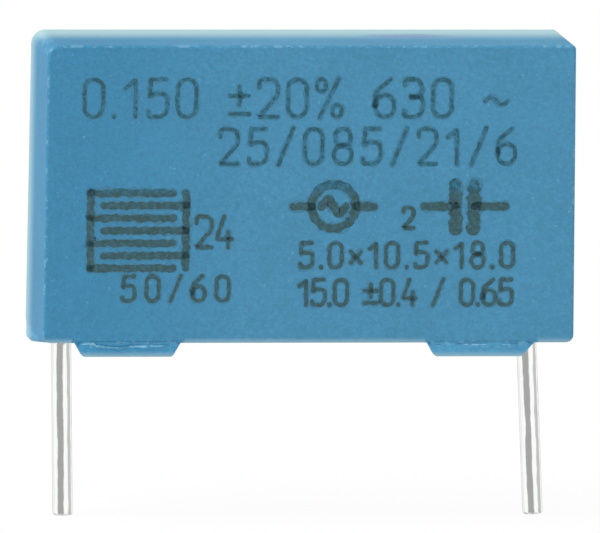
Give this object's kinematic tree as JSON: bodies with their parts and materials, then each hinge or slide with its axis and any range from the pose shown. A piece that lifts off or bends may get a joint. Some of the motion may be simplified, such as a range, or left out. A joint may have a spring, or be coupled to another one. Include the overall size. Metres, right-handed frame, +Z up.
{
  "type": "box film capacitor",
  "caption": "Rectangular moulded-box film capacitor with stand-off feet and radial tinned wire leads for through-hole soldering, potted underneath.",
  "frame": {"origin": "axis of the left lead, in the plane of the circuit board that the stand-off feet rest on", "axes": "+X along the body from the left lead to the right one, -Y out of the marked face, +Z up, so the leads point down"},
  "size_m": [0.0173, 0.005, 0.0156],
  "materials": {
    "box_plastic": "matte",
    "resin": "satin",
    "film": "satin",
    "sprayed_metal": "matte",
    "tinned_wire": "gloss"
  },
  "bodies": {
    "root": {"case": "box_plastic", "potting_resin": "resin", "wound_element": "film", "end_spray_left": "sprayed_metal", "end_spray_right": "sprayed_metal", "lead_left": "tinned_wire", "lead_right": "tinned_wire"}
  },
  "joints": []
}
